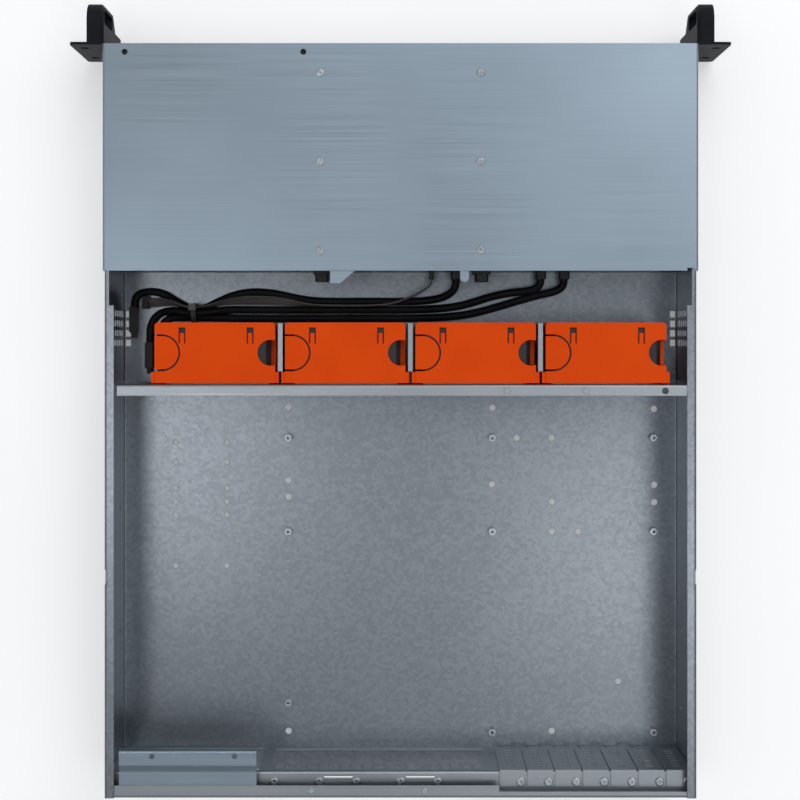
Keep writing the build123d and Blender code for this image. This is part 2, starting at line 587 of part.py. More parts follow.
def fan_wall():
    line = WALL_Y + SHEET / 2
    rear = WALL_Y + WALL_FLANGE
    low, high = SHEET + SHEET / 2, WALL_BAR_Z - SHEET / 2
    section = folded([(rear, low), (line, low), (line, high), (rear, high)], SHEET, BEND)
    wall = run_in_x(section, -WALL_HALF - WALL_SHIFT, WALL_HALF - WALL_SHIFT)
    opening = FAN_SIZE / 2 - WALL_OPEN_IN
    bar_y = line + WALL_FLANGE / 2
    cuts = [block(fan_x(i) - opening, fan_x(i) + opening, WALL_Y - 1, WALL_Y + SHEET + 1,
                  FAN_AXIS_Z - opening, FAN_AXIS_Z + FAN_SIZE / 2 - WALL_OPEN_TOP) for i in range(FAN_COUNT)]
    cuts.append(upright(-HALF_W + BAR_HOLE_IN, bar_y, high - SHEET, high + SHEET, BAR_HOLE_R))
    wall -= cuts
    for inset in BAR_STUDS_IN:
        wall += upright(-HALF_W + inset, bar_y, WALL_BAR_Z, WALL_BAR_Z + BAR_STUD_H, BAR_HOLE_R)
    for i in range(FAN_COUNT - 1):
        wall += guide_channel(fan_x(i) - FAN_PITCH / 2)
    return wall


def guide_channel(x):
    """Hollow channel between two modules, carried by a web on the wall."""
    half = GUIDE_CHANNEL_W / 2
    y0, y1 = MODULE_Y0 + GUIDE_FRONT, MODULE_Y1 - RIB_D - FIT
    top = MODULE_TOP - GUIDE_TOP
    guide = block(x - half, x + half, y0, y1, SHEET, top)
    guide -= block(x - half + CAGE_SHEET, x + half - CAGE_SHEET, y0 + CAGE_SHEET, y1 - CAGE_SHEET,
                   SHEET - 1, top - CAGE_SHEET)
    web = GUIDE_WEB_T / 2
    return guide + block(x - web, x + web, y1 - CAGE_SHEET, WALL_Y + SHEET, SHEET + BEND,
                         top - GUIDE_WEB_DROP)


# Fan modules
TAB_R, TAB_SLOT, TAB_IN, TAB_SLIT_Z, TAB_SLIT_D = 12.1, 1.3, 5.3, 34.0, 5.0
FINGER_R, FINGER_IN, FINGER_D = 9.4, 3.3, 14.0
SNAP_SIDE, SNAP_FAR_SIDE = 17.5, 20.6
SNAP_PLACES = (SNAP_SIDE, MODULE_W - SNAP_FAR_SIDE)
SNAP_W, SNAP_L, SNAP_HOLE, SNAP_SLIT, SNAP_IN = 5.0, 11.6, 4.0, 1.0, 3.6
SHELL_BEVEL, SHELL_LIP, RIB_DROP = 1.6, 2.0, 1.0
FRAME_BEVEL, HUB_FRONT, HUB_GAP, HUB_ROUND = 3.0, 2.0, 0.5, 2.0
SEAT_Y = FAN_Y1 - SEAT_BACK - SEAT_T
BLADE_ROOT_IN = 1.5
BLADE_ROOT, BLADE_TIP = (42.0, 24.0), (58.0, 27.0)


def fan_shell(index):
    """Moulded sleeve with a thumb tab, a finger notch, two snap tongues and guide ribs."""
    x = fan_x(index)
    left, right = x + MODULE_W / 2, x - MODULE_W / 2
    z0 = SHEET + FIT
    shell = block(right, left, MODULE_Y0, MODULE_Y1, z0, MODULE_TOP)
    shell = chamfer(shell.edges().filter_by(Axis.Z).sort_by(Axis.Y)[:2], SHELL_BEVEL)
    for edge, out in ((left, RIB_OUT), (right, -RIB_OUT)):
        shell += block(*sorted((edge, edge + out)), MODULE_Y1 - RIB_D, MODULE_Y1, z0, MODULE_TOP - RIB_DROP)
    side = FAN_SIZE / 2 + SEAT
    lip = FAN_SIZE / 2 - SHELL_LIP
    mid_y = (MODULE_Y0 + MODULE_Y1) / 2
    roof = FAN_Z0 + FAN_SIZE
    cuts = [block(x - side, x + side, MODULE_Y0 - 1, FAN_Y1, FAN_Z0, roof + SEAT)]
    cuts.append(block(x - lip, x + lip, FAN_Y1 - 1, MODULE_Y1 + 1, FAN_Z0 + SHELL_LIP, roof - SHELL_LIP))
    cuts.append(Pos(0, 0, roof - 1) * extrude(tab_groove(left, mid_y), MODULE_ROOF + 2))
    for way in (-1, 1):
        slit = mid_y + way * (TAB_R + TAB_SLOT / 2)
        cuts.append(block(left - TAB_SLIT_D, left + 1, slit - TAB_SLOT / 2, slit + TAB_SLOT / 2,
                          TAB_SLIT_Z, MODULE_TOP + 1))
    cuts.append(upright(right + FINGER_IN, mid_y, MODULE_TOP - FINGER_D, MODULE_TOP + 1, FINGER_R))
    for place in SNAP_PLACES:
        x1, y0 = left - place, MODULE_Y0 + SNAP_IN
        cuts.append(block(x1 - SNAP_W, x1, y0, y0 + SNAP_HOLE, roof - 1, MODULE_TOP + 1))
        for slit_x in (x1 - SNAP_W, x1 - SNAP_SLIT):
            cuts.append(block(slit_x, slit_x + SNAP_SLIT, y0, y0 + SNAP_L, roof - 1, MODULE_TOP + 1))
    return shell - cuts


def tab_groove(left, mid_y):
    """Groove round the thumb tab: half a ring and a straight leg from each of its ends to the side."""
    outer = TAB_R + TAB_SLOT
    middle = left - TAB_IN
    ring = Pos(middle, mid_y) * (Circle(outer) - Circle(TAB_R))
    groove = ring - Pos(middle + outer, mid_y) * Rectangle(2 * outer, 2 * outer)
    for way in (-1, 1):
        leg = Rectangle(TAB_IN + 1, TAB_SLOT, align=(Align.MIN, Align.CENTER))
        groove += Pos(middle, mid_y + way * (TAB_R + TAB_SLOT / 2)) * leg
    return groove


def fan_frame(index):
    """Square fan frame with a round duct, four struts and the motor seat."""
    x, z = fan_x(index), FAN_AXIS_Z
    y0, y1 = FAN_Y1 - FAN_DEPTH, FAN_Y1
    half = FAN_SIZE / 2
    frame = block(x - half, x + half, y0, y1, z - half, z + half)
    frame = chamfer(frame.edges().filter_by(Axis.Y), FRAME_BEVEL)
    frame -= along_y(x, y0 - 1, y1 + 1, z, FAN_BORE_R)
    frame += along_y(x, SEAT_Y, SEAT_Y + SEAT_T, z, HUB_R + 1)
    for turn in (45, 135):
        bar = Rot(0, turn, 0) * Box(2 * FAN_BORE_R + FAN_RIM, STRUT_W, STRUT_W)
        frame += Pos(x, SEAT_Y + STRUT_W / 2, z) * bar
    return frame - along_y(x, SEAT_Y - 1, y1 + 1, z, SHAFT_R + SEAT)


def blade(middle_y):
    """One twisted blade, its axis along Y, reaching out along Z."""
    faces = []
    for reach, (pitch, chord) in ((HUB_R - BLADE_ROOT_IN, BLADE_ROOT), (FAN_BORE_R - TIP_GAP, BLADE_TIP)):
        plane = Plane((0, middle_y, reach), x_dir=(0, 1, 0), z_dir=(0, 0, 1))
        faces.append(plane * Rot(0, 0, pitch) * Rectangle(chord, BLADE_T))
    return loft(faces)


def fan_rotor(index):
    """Hub with seven blades and the shaft that turns in the motor seat."""
    hub_y0, hub_y1 = FAN_Y1 - FAN_DEPTH + HUB_FRONT, SEAT_Y - HUB_GAP
    hub = along_y(0, hub_y0, hub_y1, 0, HUB_R)
    rotor = fillet(hub.edges().sort_by(Axis.Y)[0], HUB_ROUND)
    rotor += along_y(0, hub_y1, SEAT_Y + SEAT_T, 0, SHAFT_R)
    one = blade((hub_y0 + hub_y1) / 2)
    for i in range(BLADES):
        rotor += Rot(0, i * 360 / BLADES, 0) * one
    keep = along_y(0, hub_y0, FAN_Y1, 0, FAN_BORE_R - TIP_GAP)
    return Pos(fan_x(index), 0, FAN_AXIS_Z) * (rotor & keep)


# Rear panel
# Ledge places, measured from the first standoff
LEDGE_SCREWS = (5.8, -27.1, -54.3, -86.6, -113.9)
LEDGE_SCREW_IN, LEDGE_SLOT_IN = 7.7, 3.9
LEDGE_SCREW_Y = REAR_WALL_Y + LEDGE_SCREW_IN
LEDGE_SLOTS, LEDGE_SLOT_W = (-51.6, -111.6), 21.0
LEDGE_SLOT_Y, LEDGE_SLOT_D = REAR_WALL_Y + LEDGE_SLOT_IN, 1.2
RIVETS, RIVET_IN = (-21.7, -104.0), 5.2
RIVET_R, RIVET_H, RIVET_ROUND, RIVET_TAIL = 2.3, 0.8, 0.5, 0.8
REAR_FIT, REAR_CORNER_D = 0.3, 4.0
VENT_Z0 = IO_Z0 + IO_H + VENT_GAP
VENT_ROWS = int((LEDGE_Z - VENT_Z0) / (VENT_H + VENT_GAP))
SLIT_COUNT = int((LEDGE_Z - SLIT_TOP - SLIT_Z0 - SLIT_H) / SLIT_PITCH) + 1
PAN_ROUND, PAN_TAIL = 0.8, 1.0
PAN_CROSS_L, PAN_CROSS_W, PAN_CROSS_D = 3.2, 0.7, 0.7


def slot_x(index):
    """Middle of an expansion slot."""
    return BOARD_X0 - SLOT_OFFSET - index * SLOT_PITCH


def rear_panel():
    """Recessed wall, ledge, riser and rim, in two sheets that are butted beside the first slot."""
    t = SHEET
    line = REAR_WALL_Y + t / 2
    ledge = LEDGE_Z - t / 2
    riser = REAR_RIM_Y - t / 2
    rim = RIM_Z - t / 2
    points = [(line, t), (line, ledge), (riser, ledge), (riser, rim), (REAR_RIM_Y - REAR_RIM_D, rim)]
    half = INNER_W - REAR_FIT
    panel = run_in_x(folded(points, t, BEND), -half, half)
    y0, y1 = REAR_WALL_Y - 1, REAR_WALL_Y + t + 1
    cuts = []
    for side in (-1, 1):
        corner = sorted((side * (HALF_W - RIM - REAR_FIT), side * (half + 1)))
        cuts.append(block(*corner, REAR_WALL_Y + REAR_CORNER_D, REAR_RIM_Y + 1,
                          RIM_Z - t - REAR_FIT, RIM_Z + 1))
        foot = sorted((side * (half - BEND), side * (half + 1)))
        cuts.append(block(*foot, y0, y1, 0, t + BEND))
    slot_edge = slot_x(0) + SLOT_PITCH / 2
    cuts.append(block(-half - 1, slot_edge, REAR_RIM_Y - REAR_RIM_D - 1, REAR_RIM_Y - SLOT_RIM_D,
                      RIM_Z - 2 * t, RIM_Z + 1))
    cuts.append(block(IO_X0, IO_X0 + IO_W, y0, y1, IO_Z0, IO_Z0 + IO_H))
    cuts.append(block(PSU_X0, PSU_X0 + PSU_W, y0, y1, PSU_Z0, LEDGE_Z - PSU_TOP))
    for row in range(VENT_ROWS):
        z = VENT_Z0 + row * (VENT_H + VENT_GAP)
        for i in range(VENT_COUNT):
            x = IO_X0 + IO_W / 2 + (i - (VENT_COUNT - 1) / 2) * VENT_PITCH
            cuts.append(block(x - VENT_W / 2, x + VENT_W / 2, y0, y1, z, z + VENT_H))
    under, over = LEDGE_Z - t - 1, LEDGE_Z + 1
    for i in range(SLOT_COUNT):
        x = slot_x(i)
        cuts.append(block(x - SLOT_OPEN_W / 2, x + SLOT_OPEN_W / 2, y0, y1,
                          SLOT_OPEN_Z, LEDGE_Z - SLOT_OPEN_TOP))
        cuts.append(upright(x + SLOT_SCREW_OFF, LEDGE_SCREW_Y, under, over, SCREW_R + SEAT))
    cuts += [upright(BOARD_X0 + x, LEDGE_SCREW_Y, under, over, SCREW_R + SEAT) for x in LEDGE_SCREWS]
    cuts += [block(BOARD_X0 + x, BOARD_X0 + x + LEDGE_SLOT_W, LEDGE_SLOT_Y, LEDGE_SLOT_Y + LEDGE_SLOT_D,
                   under, over) for x in LEDGE_SLOTS]
    cuts += [upright(BOARD_X0 + x, REAR_RIM_Y - RIVET_IN, RIM_Z - t - 1, RIM_Z + 1, SCREW_R + SEAT)
             for x in RIVETS]
    panel -= cuts
    over_top, behind = RIM_Z + 1, REAR_RIM_Y + 1
    slot_side = panel & block(-half - 1, slot_edge, y0, behind, 0, over_top)
    board_side = panel & block(slot_edge, half + 1, y0, behind, 0, over_top)
    return Compound(children=[*slot_side.solids(), *board_side.solids()])


def slot_covers():
    """Seven blanking plates with air slits, a top flange and a tapered foot."""
    t = SLOT_COVER_T
    y1 = REAR_WALL_Y
    y0 = y1 - t
    foot_z, neck_z = SHEET + SLOT_FOOT_GAP, SLOT_SHOULDER_Z - SLOT_TAPER
    half, foot = SLOT_COVER_W / 2, SLOT_FOOT_W / 2
    solids = []
    for i in range(SLOT_COUNT):
        x = slot_x(i)
        points = [(x - half, LEDGE_Z + t), (x - half, SLOT_SHOULDER_Z), (x - foot, neck_z),
                  (x - foot, foot_z), (x + foot, foot_z), (x + foot, neck_z),
                  (x + half, SLOT_SHOULDER_Z), (x + half, LEDGE_Z + t)]
        cover = run_in_y(make_face(Polyline(*points, close=True)), y0, y1)
        cover += block(x - half, x + half, y1, y1 + SLOT_FLANGE, LEDGE_Z, LEDGE_Z + t)
        cuts = [upright(x + SLOT_SCREW_OFF, LEDGE_SCREW_Y, LEDGE_Z - 1, LEDGE_Z + t + 1, SCREW_R + SEAT)]
        for k in range(SLIT_COUNT):
            z = SLIT_Z0 + k * SLIT_PITCH
            cuts.append(block(x - SLIT_W / 2, x + SLIT_W / 2, y0 - 1, y1 + 1, z, z + SLIT_H))
        solids.append(cover - cuts)
    return Compound(children=solids)


def pan_screw(x, y, seat):
    """Pan-head screw with a cross recess, standing on a seat."""
    top = seat + SCREW_HEAD_H
    head = upright(x, y, seat, top, SCREW_HEAD_R)
    head = fillet(head.edges().sort_by(Axis.Z)[-1], PAN_ROUND)
    screw = head + upright(x, y, LEDGE_Z - SHEET - PAN_TAIL, seat, SCREW_R)
    return screw - cross_recess(x, y, top, PAN_CROSS_L, PAN_CROSS_W, PAN_CROSS_D)


def rear_screws():
    """Screws of the slot covers and of the ledge."""
    solids = [pan_screw(slot_x(i) + SLOT_SCREW_OFF, LEDGE_SCREW_Y, LEDGE_Z + SLOT_COVER_T)
              for i in range(SLOT_COUNT)]
    solids += [pan_screw(BOARD_X0 + x, LEDGE_SCREW_Y, LEDGE_Z) for x in LEDGE_SCREWS]
    return Compound(children=solids)


def rim_rivets():
    """Domed rivets in the rear rim."""
    solids = []
    y = REAR_RIM_Y - RIVET_IN
    for place in RIVETS:
        x = BOARD_X0 + place
        head = upright(x, y, RIM_Z, RIM_Z + RIVET_H, RIVET_R)
        head = fillet(head.edges().sort_by(Axis.Z)[-1], RIVET_ROUND)
        solids.append(head + upright(x, y, RIM_Z - SHEET - RIVET_TAIL, RIM_Z, SCREW_R))
    return Compound(children=solids)


# Power supply bracket under the rear rim
BRACKET_IN, BRACKET_AHEAD = 0.5, 17.5
BRACKET_Y0 = REAR_WALL_Y - BRACKET_AHEAD
BRACKET_FOLD, BRACKET_STEP = 11.0, 4.5
BRACKET_DROP, BRACKET_BEND = 9.0, 1.0
BRACKET_HOLES, BRACKET_HOLE_IN, BRACKET_HOLE_R = (76.5, 16.5), 4.4, 1.9


def psu_bracket():
    """Plate under the rim, stepped up at its fold, with a front edge turned down."""
    t = SHEET
    under = RIM_Z - SHEET - t / 2
    upper = RIM_Z - t / 2
    rear = REAR_RIM_Y - t - 2 * BEND
    line = BRACKET_Y0 + t / 2
    fold = BRACKET_Y0 + BRACKET_FOLD
    points = [(line, upper - BRACKET_DROP), (line, upper), (fold, upper),
              (fold + BRACKET_STEP, under), (rear, under)]
    plate = run_in_x(folded(points, t, BRACKET_BEND), PSU_X0 + BRACKET_IN, PSU_X0 + PSU_W - BRACKET_IN)
    return plate - [upright(PSU_X0 + x, BRACKET_Y0 + BRACKET_HOLE_IN, upper - t, upper + t, BRACKET_HOLE_R)
                    for x in BRACKET_HOLES]


# Cable harness in the trough, its Y measured from the rear face of the backplane
CABLE_ROUTES = {
    "cable_1": [
        (-125.6, 5.5, 12.0), (-125.6, 8.5, 12.0), (-123.6, 12.5, 12.0), (-117.0, 15.5, 11.2),
        (-106.0, 17.6, 9.0), (-92.0, 21.6, 6.3), (-77.0, 26.0, 4.6), (-61.0, 30.6, 4.3), (-44.0, 33.8, 4.3),
        (-15.0, 35.4, 4.3), (30.0, 35.2, 4.3), (80.0, 35.5, 4.3), (125.0, 35.3, 4.3),
        (140.0, 35.0, 4.8), (152.0, 34.7, 5.6), (166.0, 34.7, 5.6), (176.0, 34.8, 4.8),
        (182.4, 37.6, 4.4), (185.2, 44.0, 4.6), (185.4, 49.0, 4.6), (185.4, 54.0, 4.6),
    ],
    "cable_2": [
        (-107.6, 5.5, 12.0), (-107.6, 8.6, 12.0), (-105.6, 12.0, 12.0), (-99.0, 14.6, 11.4),
        (-85.0, 15.6, 9.4), (-70.0, 18.6, 6.4), (-56.0, 23.2, 4.6), (-40.0, 27.2, 4.3), (-12.0, 29.0, 4.3),
        (30.0, 28.8, 4.3), (80.0, 29.1, 4.3), (118.0, 28.9, 4.3), (132.0, 28.8, 6.4),
        (143.0, 30.2, 10.2), (153.0, 31.4, 11.4), (165.0, 31.4, 11.4), (175.0, 29.4, 10.2),
        (184.0, 30.6, 6.6), (190.0, 35.0, 4.9), (193.2, 42.0, 4.6), (193.4, 48.5, 4.6),
        (193.4, 54.0, 4.6),
    ],
    "cable_3": [
        (-42.6, 5.5, 12.0), (-42.6, 10.0, 12.0), (-40.5, 14.5, 10.6), (-35.0, 18.6, 7.6),
        (-25.0, 21.4, 5.2), (-8.0, 22.6, 4.3), (30.0, 22.4, 4.3), (62.0, 22.6, 4.3), (78.0, 20.6, 4.3),
        (94.0, 16.8, 4.3), (108.0, 15.0, 4.3), (120.0, 15.4, 4.3), (132.0, 18.6, 4.3),
        (142.0, 23.2, 4.7), (150.0, 27.4, 5.4), (156.0, 28.3, 5.6), (163.0, 28.0, 5.6),
        (172.0, 23.2, 4.8), (181.0, 17.2, 4.3), (189.0, 14.8, 4.3), (197.0, 15.0, 4.3),
        (203.2, 17.2, 4.4), (205.4, 22.0, 4.6), (205.4, 26.5, 4.6),
    ],
}
# Flat cable: place of its first wire, and the step from wire to wire in Y and Z
FLAT_ROUTE = [
    (-24.0, 5.5, 8.6, 0, 1.75), (-24.0, 9.0, 8.6, 0, 1.75), (-18.0, 14.0, 8.6, 0, 1.75),
    (-6.0, 20.0, 8.6, 0, 1.75), (8.0, 24.6, 8.2, 0, 1.75), (24.0, 25.7, 7.2, 0, 1.75),
    (60.0, 25.7, 7.2, 0, 1.75), (74.0, 25.4, 6.8, -0.3, 1.73), (84.0, 25.0, 6.2, -0.9, 1.5),
    (96.0, 24.8, 5.4, -1.4, 1.1), (110.0, 24.6, 4.8, -1.5, 0.95), (122.0, 24.4, 5.4, -1.4, 1.1),
    (132.0, 24.4, 7.6, -0.9, 1.5), (143.0, 25.5, 10.2, -0.3, 1.73), (154.0, 27.0, 10.8, 0, 1.75),
    (164.0, 27.0, 10.8, 0, 1.75), (172.0, 25.4, 9.6, -0.5, 1.68), (179.0, 25.2, 7.4, -1.05, 1.4),
    (185.0, 25.8, 5.4, -1.4, 1.05), (190.0, 26.2, 5.0, -1.4, 1.05), (194.0, 26.2, 5.0, -1.4, 1.05),
]
END_PLUGS = [(185.4, 54.0, 0), (193.4, 54.0, 0), (205.4, 26.5, 0)]
HARNESS_Y = BOARD_Y + BOARD_T
PLUG_BEVEL, PLUG_NOSE_L, PLUG_NOSE_IN, PLUG_NOSE_LOW = 0.8, 4.0, 1.2, 2.0
SOCKET_PLUG_BEVEL = 1.0
FLAT_PLUG_OUT, FLAT_PLUG_L = 1.2, 5.0
# Places where round runs pass the tie, in Y and Z
TIE_RUNS = [(34.7, 5.6), (28.2, 5.6), (31.4, 11.4)]
TIE_WIRES = (27.0, 10.8, 1.75)
TIE_HEAD_W, TIE_HEAD_D, TIE_HEAD_H = 5.6, 4.8, 4.0
ARC_SHARE, STRAIGHT = 0.45, 0.01


def cable_path(points):
    """Straight runs joined by arcs as large as the runs allow."""
    radii = []
    for before, here, after in zip(points, points[1:], points[2:]):
        run_in, run_out = Vector(here) - Vector(before), Vector(after) - Vector(here)
        turn = max(radians(run_in.get_angle(run_out)), STRAIGHT)
        radii.append(ARC_SHARE * min(run_in.length, run_out.length) / tan(turn / 2))
    return FilletPolyline(*points, radius=radii), radii


def tube(name, route, radius):
    """Round cable along its route."""
    path, radii = cable_path(route)
    start = Plane(path.position_at(0), z_dir=path.tangent_at(0))
    body = sweep(start * Circle(radius), path)
    print(name, "length", round(path.length, 1), "smallest radius", round(min(radii), 1),
          "volume share", round(body.volume / (pi * radius ** 2 * path.length), 4))
    return Pos(0, HARNESS_Y, 0) * body


def wire_route(index):
    """Route of one wire of the flat cable."""
    return [(x, y + index * step_y, z + index * step_z) for x, y, z, step_y, step_z in FLAT_ROUTE]


def flat_cable():
    """Wires side by side, on edge in the bundle and fanned out beside it."""
    return Compound(children=[tube(f"wire_{i + 1}", wire_route(i), WIRE_R) for i in range(FLAT_WIRES)])


def end_plug(x, y, turn):
    """Flat plug that lies on its edge, with a narrower nose."""
    body = block(-PLUG_W / 2, PLUG_W / 2, 0, PLUG_L, SHEET, SHEET + PLUG_H)
    body = chamfer(body.edges().filter_by(Axis.Z), PLUG_BEVEL)
    half = PLUG_W / 2 - PLUG_NOSE_IN
    nose = block(-half, half, PLUG_L, PLUG_L + PLUG_NOSE_L, SHEET + PLUG_NOSE_LOW,
                 SHEET + PLUG_H - PLUG_NOSE_LOW)
    return Pos(x, HARNESS_Y + y, 0) * Rot(0, 0, turn) * (body + nose)


def flat_plug(end, x0, x1, y0, y1):
    """Plug over one end of the flat cable's wires."""
    wires = [wire_route(i)[end] for i in range(FLAT_WIRES)]
    out = WIRE_R + FLAT_PLUG_OUT
    low, high = min(p[2] for p in wires) - out, max(p[2] for p in wires) + out
    return Pos(0, HARNESS_Y, 0) * block(x0, x1, y0, y1, low, high)


def cable_plugs():
    """Plugs in the backplane and at the far end of each cable."""
    solids = []
    for route in CABLE_ROUTES.values():
        x, y, z = route[0]
        plug = block(x - SOCKET_PLUG_W / 2, x + SOCKET_PLUG_W / 2, HARNESS_Y, HARNESS_Y + y,
                     z - SOCKET_PLUG_H / 2, z + SOCKET_PLUG_H / 2)
        solids.append(chamfer(plug.edges().filter_by(Axis.Y), SOCKET_PLUG_BEVEL))
    solids += [end_plug(*place) for place in END_PLUGS]
    out = WIRE_R + FLAT_PLUG_OUT
    x, y = FLAT_ROUTE[0][:2]
    solids.append(flat_plug(0, x - out, x + out, 0, y))
    x, y, step = FLAT_ROUTE[-1][0], FLAT_ROUTE[-1][1], FLAT_ROUTE[-1][3]
    rows = sorted((y, y + (FLAT_WIRES - 1) * step))
    solids.append(flat_plug(-1, x, x + FLAT_PLUG_L, rows[0] - out, rows[1] + out))
    return Compound(children=solids)


def cable_tie():
    """Flat band round the runs that pass the tie, with its head on top."""
    y, z, step = TIE_WIRES
    wires = [(y, z + i * step) for i in range(FLAT_WIRES)]
    bands = []
    for extra in (TIE_GAP, TIE_GAP + TIE_T):
        rings = [Pos(*p) * Circle(CABLE_R + extra) for p in TIE_RUNS]
        rings += [Pos(*p) * Circle(WIRE_R + extra) for p in wires]
        bands.append(make_hull(Sketch(rings).edges()))
    tie = run_in_x(bands[1] - bands[0], TIE_X - TIE_W / 2, TIE_X + TIE_W / 2)
    head_z = wires[-1][1] + WIRE_R + TIE_GAP + TIE_T / 2
    tie += block(TIE_X - TIE_HEAD_W / 2, TIE_X + TIE_HEAD_W / 2, y - TIE_HEAD_D / 2, y + TIE_HEAD_D / 2,
                 head_z, head_z + TIE_HEAD_H)
    return Pos(0, HARNESS_Y, 0) * tie


def export_all():
    save(base_tray(), "base_tray")
    save(standoffs(), "board_standoffs")
    save(front_cover(), "front_cover")
    save(cover_screws(), "cover_screws")
    save(drive_cage(), "drive_cage")
    save(backplane(), "backplane")
    save(backplane_sockets(), "backplane_sockets")
    save(power_plugs(), "power_plugs")
    for col in range(BAY_COLS):
        for row in range(BAY_ROWS):
            number = col * BAY_ROWS + row + 1
            save(tray_frame(col, row), f"drive_tray_{number}")
            save(tray_lever(col, row), f"tray_lever_{number}")
    save(ear(-1), "left_ear")
    save(ear(1), "right_ear")
    save(ear_screws(), "ear_screws")
    save(power_button(), "power_button")
    save(fan_wall(), "fan_wall")
    for i in range(FAN_COUNT):
        save(fan_shell(i), f"fan_shell_{i + 1}")
        save(fan_frame(i), f"fan_frame_{i + 1}")
        save(fan_rotor(i), f"fan_rotor_{i + 1}")
    save(rear_panel(), "rear_panel")
    save(slot_covers(), "slot_covers")
    save(rear_screws(), "rear_screws")
    save(rim_rivets(), "rim_rivets")
    save(psu_bracket(), "psu_bracket")
    for name, route in CABLE_ROUTES.items():
        save(tube(name, route, CABLE_R), name)
    save(flat_cable(), "cable_4")
    save(cable_plugs(), "cable_plugs")
    save(cable_tie(), "cable_tie")


export_all()
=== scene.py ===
"""Dressed scene of an empty rackmount server case, seen from above with its rear lid off.

Metres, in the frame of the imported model: +Z up, the front faces -Y.
"""
import math

import bpy
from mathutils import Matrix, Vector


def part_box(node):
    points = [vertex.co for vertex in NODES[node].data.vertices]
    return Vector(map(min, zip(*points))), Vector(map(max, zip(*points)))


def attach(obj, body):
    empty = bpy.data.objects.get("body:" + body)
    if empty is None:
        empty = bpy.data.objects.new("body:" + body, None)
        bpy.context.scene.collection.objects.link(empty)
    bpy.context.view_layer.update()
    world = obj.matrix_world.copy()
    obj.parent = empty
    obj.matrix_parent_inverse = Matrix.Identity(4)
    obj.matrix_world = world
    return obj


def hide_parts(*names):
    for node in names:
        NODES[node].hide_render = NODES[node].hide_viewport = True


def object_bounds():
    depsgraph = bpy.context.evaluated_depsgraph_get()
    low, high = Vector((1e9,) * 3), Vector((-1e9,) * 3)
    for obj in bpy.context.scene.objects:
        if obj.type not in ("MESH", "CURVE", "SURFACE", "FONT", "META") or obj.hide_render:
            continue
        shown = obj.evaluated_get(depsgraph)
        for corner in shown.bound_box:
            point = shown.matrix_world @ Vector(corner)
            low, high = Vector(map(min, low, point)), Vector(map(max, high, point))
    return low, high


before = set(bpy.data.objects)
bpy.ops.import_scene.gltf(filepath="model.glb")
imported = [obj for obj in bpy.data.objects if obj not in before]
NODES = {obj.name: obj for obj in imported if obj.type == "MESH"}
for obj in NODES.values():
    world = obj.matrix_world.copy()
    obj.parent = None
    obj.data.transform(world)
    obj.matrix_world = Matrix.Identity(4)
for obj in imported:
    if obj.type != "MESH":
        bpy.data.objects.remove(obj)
CAD_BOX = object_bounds()
MM = 0.001

# Camera of the photograph: it looks straight down with its upper side towards the front
IMAGE_PX = 800
FOCAL_PX = 1742.0
OPTICAL_AXIS_PX = (399.4, 339.3)
CAMERA_AT = (0.0008, -0.0592, 1.3507)
SENSOR_MM = 36.0

# Cable harness: points in millimetres, Y measured from the rear face of the backplane
CABLE_D = 6.0
CABLES = {
    "cable_1": [
        (-125.6, 5.5, 12.0), (-125.6, 8.5, 12.0), (-123.6, 12.5, 12.0), (-117.0, 15.5, 11.2),
        (-106.0, 17.6, 9.0), (-92.0, 21.6, 6.3), (-77.0, 26.0, 4.6), (-61.0, 30.6, 4.3),
        (-44.0, 33.8, 4.3), (-15.0, 35.4, 4.3), (30.0, 35.2, 4.3), (80.0, 35.5, 4.3),
        (125.0, 35.3, 4.3), (140.0, 35.0, 4.8), (152.0, 34.7, 5.6), (166.0, 34.7, 5.6),
        (176.0, 34.8, 4.8), (182.4, 37.6, 4.4), (185.2, 44.0, 4.6), (185.4, 49.0, 4.6),
        (185.4, 54.0, 4.6),
    ],
    "cable_2": [
        (-107.6, 5.5, 12.0), (-107.6, 8.6, 12.0), (-105.6, 12.0, 12.0), (-99.0, 14.6, 11.4),
        (-85.0, 15.6, 9.4), (-70.0, 18.6, 6.4), (-56.0, 23.2, 4.6), (-40.0, 27.2, 4.3),
        (-12.0, 29.0, 4.3), (30.0, 28.8, 4.3), (80.0, 29.1, 4.3), (118.0, 28.9, 4.3),
        (132.0, 28.8, 6.4), (143.0, 30.2, 10.2), (153.0, 31.4, 11.4), (165.0, 31.4, 11.4),
        (175.0, 29.4, 10.2), (184.0, 30.6, 6.6), (190.0, 35.0, 4.9), (193.2, 42.0, 4.6),
        (193.4, 48.5, 4.6), (193.4, 54.0, 4.6),
    ],
    "cable_3": [
        (-42.6, 5.5, 12.0), (-42.6, 10.0, 12.0), (-40.5, 14.5, 10.6), (-35.0, 18.6, 7.6),
        (-25.0, 21.4, 5.2), (-8.0, 22.6, 4.3), (30.0, 22.4, 4.3), (62.0, 22.6, 4.3), (78.0, 20.6, 4.3),
        (94.0, 16.8, 4.3), (108.0, 15.0, 4.3), (120.0, 15.4, 4.3), (132.0, 18.6, 4.3),
        (142.0, 23.2, 4.7), (150.0, 27.4, 5.4), (156.0, 28.3, 5.6), (163.0, 28.0, 5.6),
        (172.0, 23.2, 4.8), (181.0, 17.2, 4.3), (189.0, 14.8, 4.3), (197.0, 15.0, 4.3),
        (203.2, 17.2, 4.4), (205.4, 22.0, 4.6), (205.4, 26.5, 4.6),
    ],
}

